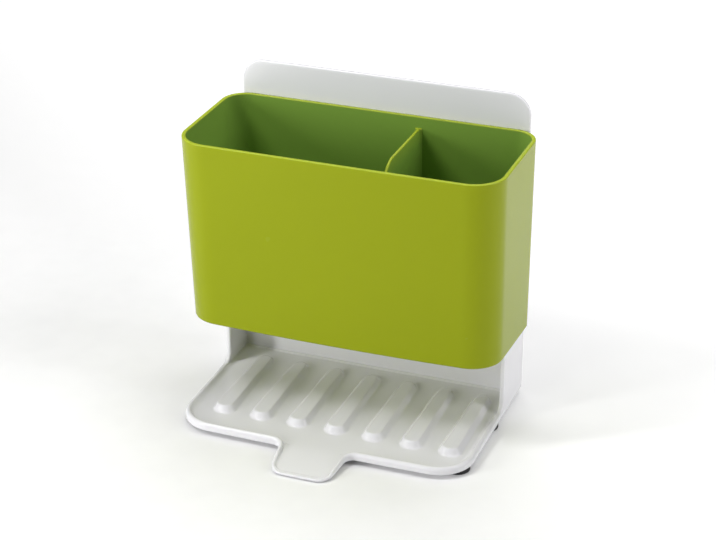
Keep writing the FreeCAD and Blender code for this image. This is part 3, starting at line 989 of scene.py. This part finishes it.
def sheet_through_holes(rings, top, low, start, holes):
    """Points and faces of the top and underside of a tiled sheet and of the walls of its holes; top and low
    give the height at each y."""
    plan = rings.reshape(-1, 2)
    points = [np.column_stack([plan, height_at(plan[:, 1])]) for height_at in (top, low)]
    top_numbers = tile_numbers(rings, start)
    low_numbers = top_numbers + len(plan)
    pierced = np.tile(holes, len(rings) // len(holes)) > 0
    hole_walls = np.stack([top_numbers[pierced, 0], low_numbers[pierced, 0]], axis=1)
    faces = [tile_faces(top_numbers), tile_faces(low_numbers), tile_faces(hole_walls)]
    return np.concatenate(points), np.concatenate(faces)


# %% Make the pocket floor
pocket_drain_radius = 2.5
pocket_side = (web_back - web_front) / 2
drain_x = web_spacing / 2
pocket_edges_x = np.array([
    -bay_half,
    -drain_x - pocket_side,
    -drain_x + pocket_side,
    drain_x - pocket_side,
    drain_x + pocket_side,
    bay_half,
])
pocket_edges_y = np.array([web_front, web_back])
pocket_holes = np.array([0, pocket_drain_radius, 0, pocket_drain_radius, 0])


def pocket_top(y):
    """Top of the pocket's floor."""
    return np.full(y.shape, base_z + floor_back_thickness)


def pocket_low(y):
    """Underside of the pocket's floor."""
    return np.full(y.shape, base_z + 4 * hair)


pocket_rings = tile_rings(pocket_edges_x, pocket_edges_y, pocket_holes)
pocket_points, pocket_faces = sheet_through_holes(pocket_rings, pocket_top, pocket_low, 0, pocket_holes)
border = tile_border(pocket_edges_x, pocket_edges_y)
border_top = np.column_stack([border, pocket_top(border[:, 1])])
border_low = np.column_stack([border, pocket_low(border[:, 1])])
border_faces = quads(ring(table(2, len(border), start=len(pocket_points))))
pocket_points = np.concatenate([pocket_points, border_top, border_low])
pocket_faces = np.concatenate([pocket_faces, border_faces])
stand_piece("stand_pocket_floor", pocket_points, pocket_faces)

# %% [markdown]
# ## Bin shell
#
# The bin is one thin wall with a bowed front, round corners and a bottom that slopes to the back. Its
# surface is a grid: one way runs round the plan, the other runs up the outside, over the rim and down the
# inside to the floor. At each height the plan is eight legs, each an arc whose centre, radius and angle
# change evenly along it. A subdivided cage would need many loops to hold these radii, and this needs only
# their numbers.

# %% Plan of the bin
side_draft = 1.6
back_draft = 0.4
front_draft = 4.9
rim_bow = 0.4
bottom_bow = 3.1
front_corner_radius = 20.3
back_rim_radius = 15.5
back_bottom_radius = 13.0
bin_wall = 2.5
bin_rim = bin_high[2]
bin_height = bin_rim - bin_base
settle_rounds = 5
leg_steps = [64, 16, 16, 16, 64, 16, 16, 16]
leg_ends = np.cumsum([0] + leg_steps)
leg_share = np.concatenate([np.arange(steps) / steps for steps in leg_steps])
around = leg_ends[-1]


def bin_plan(drop_share, inset):
    """Plan of the bin, moved in from its outer face: drop_share is 0 at the rim and 1 at the bottom. A
    point is centre + (radius - inset) x direction, on a bowed front, four corners, two sides and a back."""
    half = bin_high[0] - side_draft * drop_share
    back = bin_high[1] - back_draft * drop_share
    front = bin_low[1] + front_draft * drop_share
    bow = rim_bow + (bottom_bow - rim_bow) * drop_share
    bow_radius = (half ** 2 + bow ** 2) / (2 * bow)
    # Adding zero times an array gives a single number the array's shape.
    front_radius = front_corner_radius + 0 * drop_share
    back_radius = back_rim_radius + (back_bottom_radius - back_rim_radius) * drop_share
    arc_x = half - front_radius
    bow_turn = np.arcsin(arc_x / (bow_radius - front_radius))
    arc_y = front + bow_radius - (bow_radius - front_radius) * np.cos(bow_turn)
    zero = 0 * half
    quarter = zero + np.pi / 2
    front_arc = (zero, front + bow_radius, bow_radius)
    front_right = (arc_x, arc_y, front_radius)
    front_left = (-arc_x, arc_y, front_radius)
    back_right = (half - back_radius, back - back_radius, back_radius)
    back_left = (-back_right[0], back_right[1], back_right[2])
    legs = [
        (front_arc, front_arc, -bow_turn, bow_turn),
        (front_right, front_right, bow_turn, quarter),
        (front_right, back_right, quarter, quarter),
        (back_right, back_right, quarter, 2 * quarter),
        (back_right, back_left, 2 * quarter, 2 * quarter),
        (back_left, back_left, 2 * quarter, 3 * quarter),
        (back_left, front_left, 3 * quarter, 3 * quarter),
        (front_left, front_left, 3 * quarter, 4 * quarter - bow_turn),
    ]
    x = np.zeros(half.shape)
    y = np.zeros(half.shape)
    for number, (first, last, first_turn, last_turn) in enumerate(legs):
        leg = slice(leg_ends[number], leg_ends[number + 1])
        values = zip(first + (first_turn,), last + (last_turn,))
        centre_x, centre_y, radius, turn = (a[:, leg] + (b - a)[:, leg] * leg_share[leg] for a, b in values)
        x[:, leg] = centre_x + (radius - inset) * np.sin(turn)
        y[:, leg] = centre_y - (radius - inset) * np.cos(turn)
    return x, y


def bin_rows(up_share, low, high, inset):
    """Rows round the bin. A row's height goes from the sloping seat plus low, at share 0, to the rim plus
    high, at share 1. The plan depends on the height and the seat on the plan: a few rounds settle both."""
    values = (up_share, low, high, inset)
    up_share, low, high, inset = (np.asarray(value, float)[:, None] for value in values)
    z = (1 - up_share) * (bin_base + low) + up_share * (bin_rim + high) + np.zeros(around)
    for _ in range(settle_rounds):
        x, y = bin_plan((bin_rim - z) / bin_height, inset)
        z = (1 - up_share) * (seat_height(y) + low) + up_share * (bin_rim + high)
    return np.stack([x, y, z], axis=-1)


# %% Wall of the bin
# A column of the profile is one row of the wall: its share of the height, what it adds to the seat and to
# the rim, and how far it lies in from the outer face.
bin_floor = 2.4
rim_rounding = 0.75
bottom_rounding = 1.3
inner_fillet = 3.0
wall_rows = 22
underside_reach = 3.0
row_gap = 0.2
turn = np.linspace(0, np.pi / 2, quarter_rows)
flat = np.zeros(turn.shape)
climb = smooth_step(np.linspace(0, 1, wall_rows))
level_rows = np.zeros(wall_rows)
rising = 1 - np.cos(turn)
closing = 1 - np.sin(turn)
below_rim = level_rows - rim_rounding - row_gap
above_fillet = level_rows + bin_floor + inner_fillet + row_gap
flat_inset = [bottom_rounding + underside_reach, bottom_rounding + row_gap / 2]
wall_profile = np.concatenate([
    np.stack([[0.0, 0.0], [0.0, 0.0], [0.0, 0.0], flat_inset]),
    np.stack([flat, bottom_rounding * rising, flat, bottom_rounding * closing]),
    np.stack([climb, level_rows + bottom_rounding + row_gap, below_rim, level_rows]),
    np.stack([flat + 1, flat, -rim_rounding * closing, rim_rounding * rising]),
    np.stack([flat + 1, flat, -rim_rounding * rising, bin_wall - rim_rounding * closing]),
    np.stack([1 - climb, above_fillet, below_rim, level_rows + bin_wall]),
    np.stack([flat, bin_floor + inner_fillet * closing, flat, bin_wall + inner_fillet * rising]),
    np.array([[0.0], [bin_floor], [0.0], [bin_wall + inner_fillet + row_gap]]),
], axis=1)
shell_rows = bin_rows(*wall_profile)
rim_row = len(flat_inset) + 2 * len(turn) + wall_rows
print("bin wall", shell_rows.shape[:2], "rows and columns")

# %% Drain holes of the bin
drain_radius = 2.5
drain_margin = 16.0
divider_x = 24.0
large_drains = 6
small_drains = 3
depth_drains = 4
floor_half = bin_high[0] - side_draft - bin_wall - drain_margin
large_x = np.linspace(-floor_half, divider_x - drain_margin, large_drains)
small_x = np.linspace(divider_x + drain_margin, floor_half, small_drains)
front_drain = bin_low[1] + front_draft + bin_wall + drain_margin
back_drain = bin_high[1] - back_draft - bin_wall - drain_margin
drain_y = np.linspace(front_drain, back_drain, depth_drains)


def edges_between(places):
    """Tile edges half way between evenly spaced places, and half a pitch beyond the ends."""
    pitch = places[1] - places[0]
    return np.concatenate([places - pitch / 2, places[-1:] + pitch / 2])


bin_edges_x = np.concatenate([edges_between(large_x), edges_between(small_x)])
bin_edges_y = edges_between(drain_y)
bin_holes = np.array([drain_radius] * large_drains + [0] + [drain_radius] * small_drains)
bin_rings = tile_rings(bin_edges_x, bin_edges_y, bin_holes)
print((bin_holes > 0).sum() * depth_drains, "drain holes")

# %% Floor of the bin
border_shares = np.array([0.0, 0.35, 0.7, 1.0])[:, None, None]


def bin_floor_top(y):
    """Top of the bin's floor."""
    return seat_height(y) + bin_floor


floor_start = shell_rows[..., 0].size
tile_points, tiles = sheet_through_holes(bin_rings, bin_floor_top, seat_height, floor_start, bin_holes)
border = np.roll(tile_border(bin_edges_x, bin_edges_y), -leg_steps[-1] // 2, axis=0)
top_plan = shell_rows[-1, :, :2] + border_shares * (border - shell_rows[-1, :, :2])
low_plan = shell_rows[0, :, :2] + border_shares * (border - shell_rows[0, :, :2])
top_ring = np.concatenate([top_plan, bin_floor_top(top_plan[..., 1:])], axis=-1)
low_ring = np.concatenate([low_plan, seat_height(low_plan[..., 1:])], axis=-1)
ring_start = floor_start + len(tile_points)
top_table = table(*top_ring.shape[:2], start=ring_start)
low_table = top_table + top_table.size
bin_points = np.concatenate([
    shell_rows.reshape(-1, 3), tile_points, top_ring.reshape(-1, 3), low_ring.reshape(-1, 3)
])
bin_faces = np.concatenate([
    quads(ring(table(*shell_rows.shape[:2]))), tiles, quads(ring(top_table)), quads(ring(low_table))
])
print("bin", len(bin_points), "points")

# %% Make the bin shell
# The deeper green of the painted shade sets in at the middle of the rim. The lighter green of the painted
# highlight keeps to the rim's rounding.
painted_shade_start = -0.6
painted_shade_reach = 1.8
past_rim = (np.arange(len(shell_rows)) >= rim_row)[:, None]
shell_painted_shade = past_rim * smooth_step((bin_rim - shell_rows[..., 2] - painted_shade_start) / painted_shade_reach)
bin_painted_shade = np.concatenate([
    shell_painted_shade.ravel(),
    np.repeat([1.0, 0.0], len(tile_points) // 2),
    np.repeat([1.0, 0.0], top_table.size),
])
shell_painted_highlight = smooth_step((shell_rows[..., 2] - bin_rim) / rim_rounding + 1)
bin_painted_highlight = np.concatenate([shell_painted_highlight.ravel(), np.zeros(len(bin_points) - shell_painted_highlight.size)])
bin_piece("bin_shell", bin_points, bin_faces, {"inside": bin_painted_shade, "edge": bin_painted_highlight})

# %% [markdown]
# ## Divider
#
# The divider splits the bin off centre. Its top edge is level at the back, rounds over a brow, sweeps
# down and ends in a toe at the front wall. It is a profile carried along that edge: a round crest and two
# sides that run down into the floor. Next to the back wall it widens into a small fillet.

# %% Top edge of the divider
divider_crest_thickness = 1.7
divider_foot_thickness = 2.4
divider_drop = 7.2
divider_level = 47.0
divider_brow_radius = 16.0
divider_toe_radius = 12.0
divider_sweep = math.radians(62)
divider_toe_gap = 1.2
divider_spacing = 0.8
divider_back = bin_high[1] - bin_wall / 2
divider_front = bin_low[1] + bin_wall
divider_top = bin_rim - divider_drop
brow_y = bin_high[1] - bin_wall - divider_level
brow_run = divider_brow_radius * math.tan(divider_sweep / 2)
toe_run = divider_toe_radius * math.tan(divider_sweep / 2)
sweep_y = brow_y - brow_run
toe_corner_y = divider_front + toe_run
toe_z = divider_top - (sweep_y - toe_corner_y) * math.tan(divider_sweep)
divider_path = rounded_path(
    [
        (divider_back, divider_top),
        (sweep_y, divider_top),
        (toe_corner_y, toe_z),
        (divider_front + divider_toe_gap, toe_z),
    ],
    [0, divider_brow_radius, divider_toe_radius, 0],
    closed=False,
)
divider_path = evenly_spaced(divider_path, divider_spacing)
down = inward(divider_path, closed=False)
print("divider", len(divider_path), "points from", divider_top.round(1), "down to", toe_z.round(1))

# %% Make the divider
divider_fillet = 2.2
crest_rounding = 0.8
crest_highlight_share = 0.8
crest_rows = 15
crest_fade = 2
side_rows = 12


def divider_flare(y):
    """What a fillet adds to the divider's half width near the back wall."""
    wall_y = bin_high[1] - back_draft * divider_drop / bin_height - bin_wall
    return fillet(wall_y - y, divider_fillet)


def divider_points():
    """Sections along the divider's top edge: up one side, round the crest, down the other side. The sides
    widen downwards, and no point stands further forward than the middle of the leaning front wall."""
    half = divider_crest_thickness / 2 + divider_flare(divider_path[:, :1])
    turn = np.linspace(-np.pi / 2, np.pi / 2, crest_rows)
    sideways = (half - crest_rounding) * np.sign(np.round(turn, 6)) + crest_rounding * np.sin(turn)
    inset = crest_rounding * (1 - np.cos(turn))
    edge = divider_path[:, None] + inset[None, :, None] * down[:, None]
    fall = np.linspace(0, 1, side_rows + 1)[1:]
    low_z = seat_height(edge[:, :1, 0]) + bin_floor / 2
    side_y = np.repeat(edge[:, :1, 0], len(fall), axis=1)
    side_z = edge[:, :1, 1] + (low_z - edge[:, :1, 1]) * fall
    side_x = half + (divider_foot_thickness - divider_crest_thickness) / 2 * fall
    x = np.concatenate([-side_x[:, ::-1], sideways, side_x], axis=1)
    y = np.concatenate([side_y[:, ::-1], edge[..., 0], side_y], axis=1)
    z = np.concatenate([side_z[:, ::-1], edge[..., 1], side_z], axis=1)
    wall_y = bin_low[1] + front_draft * (bin_rim - z) / bin_height + bin_wall / 2
    return np.stack([divider_x + x, np.maximum(y, wall_y), z], axis=-1)


sections = with_end_poles(divider_points())
from_middle = np.abs(np.arange(sections.shape[1]) - (sections.shape[1] - 1) / 2)
from_crest = from_middle - crest_rows / 2
# Painted shade: the divider's sides take the deeper inner green.
divider_painted_shade = np.tile(smooth_step((from_crest + crest_fade) / crest_fade), len(sections))
# Painted highlight: the divider's crest takes the lighter green.
divider_shares = {"inside": divider_painted_shade, "edge": crest_highlight_share * (1 - divider_painted_shade)}
bin_piece("bin_divider", sections, closed_faces(sections), divider_shares)

# %% [markdown]
# ## Tongues
#
# Two flat tongues under the bin's back edge drop into the pocket and keep the bin from sliding off.

# %% Make the tongues
tongue_half = 20.0
tongue_spacing = 96.0
tongue_thickness = 3.0
tongue_corner_radius = 5.0
tongue_root_radius = 0.6
tongue_rounding = 0.5
tongue_pole_height = bin_low[2] + 15.0
tongue_rear = bin_high[1] - back_draft
tongue_top = seat_height(tongue_rear - tongue_thickness) + bin_floor / 2
for x, name in ((-tongue_spacing / 2, "bin_tongue_left"), (tongue_spacing / 2, "bin_tongue_right")):
    tongue_outline = rounded_path(
        rectangle(x - tongue_half, x + tongue_half, bin_low[2], tongue_top),
        [tongue_corner_radius, tongue_corner_radius, tongue_root_radius, tongue_root_radius],
    )
    outline, across = slab(tongue_outline, tongue_thickness, tongue_rounding, (x, tongue_pole_height))
    bin_piece(name, seen_from_front(outline, across, tongue_rear - hair), closed_faces(outline))

# %% [markdown]
# ## Feet
#
# A foot is a round pad: a profile turned about an upright axis. The lower edge is softened, the bottom is
# a little hollow, and the top is sunk slightly into the tray.

# %% Make the feet
foot_radius = (foot_high[0] - foot_low[0]) / 2
foot_rounding = 0.7
foot_hollow = 0.25
hollow_share = 0.8
foot_shoulder = 0.2
foot_top_inset = 0.3
foot_top = base_z + 0.1
foot_columns = 72
foot_edge_rows = 8
hollow_rows = 6


def foot_profile():
    """Radius and height from the middle of the bottom, over the soft edge and up the side, to the middle of
    the top. The hollow rises by its depth times 1 - s^2, with s from 0 in the middle to 1 at its edge."""
    turn = np.linspace(0, np.pi / 2, foot_edge_rows)
    dish = np.linspace(0, 1, hollow_rows)
    flat_reach = foot_radius - foot_rounding
    radius = np.concatenate([
        flat_reach * hollow_share * dish,
        flat_reach + foot_rounding * np.sin(turn),
        [foot_radius, foot_radius - foot_top_inset, 0],
    ])
    height = np.concatenate([
        foot_hollow * (1 - dish ** 2),
        foot_rounding * (1 - np.cos(turn)),
        [base_z - foot_shoulder, foot_top, foot_top],
    ])
    return radius, height


radius, height = foot_profile()
round_turn = np.linspace(0, 2 * np.pi, foot_columns, endpoint=False)
foot_faces = quads(ring(table(len(radius), foot_columns)))
for place in ("front_left", "front_right", "middle_left", "middle_right", "rear_left", "rear_right"):
    low, high = box_mm("foot_" + place)
    centre = (low + high) / 2
    x = centre[0] + radius[:, None] * np.cos(round_turn)
    y = centre[1] + radius[:, None] * np.sin(round_turn)
    foot_points = np.stack([x, y, np.broadcast_to(height[:, None], x.shape)], axis=-1)
    make_piece("pad_" + place, foot_points, foot_faces, rubber, "stand", "foot_" + place)

# %% [markdown]
# ## Studio
#
# A level sheet of white paper with a painted glow, two narrow lamps at the left, a weak one in front, a
# soft box overhead, a large one above and behind that lights the bright line along the rim together with
# a painted highlight, and two at the right. The left lamps are fairly near, so the front of the bin gets
# darker from left to right.

# %% Make the floor of the studio
floor_reach = 6000.0
floor_lines = 25
paper_roughness = 0.85
glow_way = (0.6, 0.8)
glow_behind = 0.25
glow_far = 0.6


def studio_paper():
    """White paper with a faint fibre pattern. A glow is painted into it behind and to the right of the
    object,
    and far away all round: it grows along glow_way and with distance."""
    material, start = new_material("studio_paper")
    place = start.node("ShaderNodeTexCoord", {}, {}, "Object")
    fibre = noise(start, place, scale=60.0, detail=4.0)
    stops = [(0.3, (0.93, 0.93, 0.93, 1)), (0.7, (0.95, 0.95, 0.95, 1))]
    shade = start.node("ShaderNodeValToRGB", {"stops": stops}, {"Fac": fibre})
    across = start.node("ShaderNodeSeparateXYZ", {}, {"Vector": place}, "X")
    depth = start.node("ShaderNodeSeparateXYZ", {}, {"Vector": place}, "Y")
    away = glow_way[0] * across + glow_way[1] * depth
    behind = start.node("ShaderNodeMapRange", {}, {"Value": away, "From Min": -0.02, "From Max": 0.22})
    distance = start.node("ShaderNodeVectorMath", {"operation": "LENGTH"}, {0: place}, "Value")
    far = start.node("ShaderNodeMapRange", {}, {"Value": distance, "From Min": 0.25, "From Max": 1.4})
    glow = mixed_colour(start, glow_behind * behind + glow_far * far, (0, 0, 0, 1), (1, 1, 1, 1))
    sockets = {
        "Base Color": shade,
        "Roughness": paper_roughness,
        "Emission Color": glow,
        "Emission Strength": 1.0,
    }
    finish_material(start, start.node("ShaderNodeBsdfPrincipled", {}, sockets))
    return material


def studio_floor():
    """A level sheet of paper under everything."""
    side = np.linspace(-floor_reach, floor_reach, floor_lines)
    x, y = np.meshgrid(side, side)
    points = np.stack([x, y, 0 * x], axis=-1).reshape(-1, 3) * MM
    mesh = bpy.data.meshes.new("studio_floor")
    mesh.from_pydata(points.tolist(), [], quads(table(floor_lines, floor_lines)).tolist())
    mesh.materials.append(studio_paper())
    floor = bpy.data.objects.new("studio_floor", mesh)
    bpy.context.collection.objects.link(floor)
    print("floor", len(mesh.polygons), "faces")
    return floor


studio_floor()

# %% Light the studio
surround_strength = 0.05


def soft_box(name, turn, tilt, distance, width, height, power):
    """A lamp that looks at the object from a direction: turn from the front to the right, tilt upwards."""
    back = direction(math.radians(turn), math.radians(tilt))
    right = np.array([math.cos(math.radians(turn)), math.sin(math.radians(turn)), 0])
    lamp = bpy.data.lights.new(name, "AREA")
    lamp.shape = "RECTANGLE"
    lamp.size = width * MM
    lamp.size_y = height * MM
    lamp.energy = power
    box = bpy.data.objects.new(name, lamp)
    box.matrix_world = axes_matrix(right, np.cross(back, right), back, aim + distance * back)
    bpy.context.collection.objects.link(box)
    print(name, "at", (aim + distance * back).round(), "mm,", power, "W")


# Turn and tilt are in degrees, distance, width and height in millimetres, and power is in watts.
soft_box("left_low_strip", -43, 12, 1000, 140, 350, 3.8)
soft_box("left_high_strip", -50, 52, 1000, 140, 380, 4.1)
soft_box("front_strip", -16, 14, 1200, 160, 350, 1.5)
soft_box("overhead", 0, 88, 1400, 900, 900, 3.0)
soft_box("back_box", 180, 65, 1400, 1000, 800, 7.6)
soft_box("right_low_box", 90, 20, 1200, 400, 400, 3.5)
soft_box("right_high_box", 90, 50, 1200, 400, 400, 2.1)
world = bpy.data.worlds.new("white_surround")
bpy.context.scene.world = world
world.use_nodes = True
surround = world.node_tree.nodes["Background"]
surround.inputs["Color"].default_value = (1, 1, 1, 1)
surround.inputs["Strength"].default_value = surround_strength
bpy.context.scene.view_settings.view_transform = "Standard"
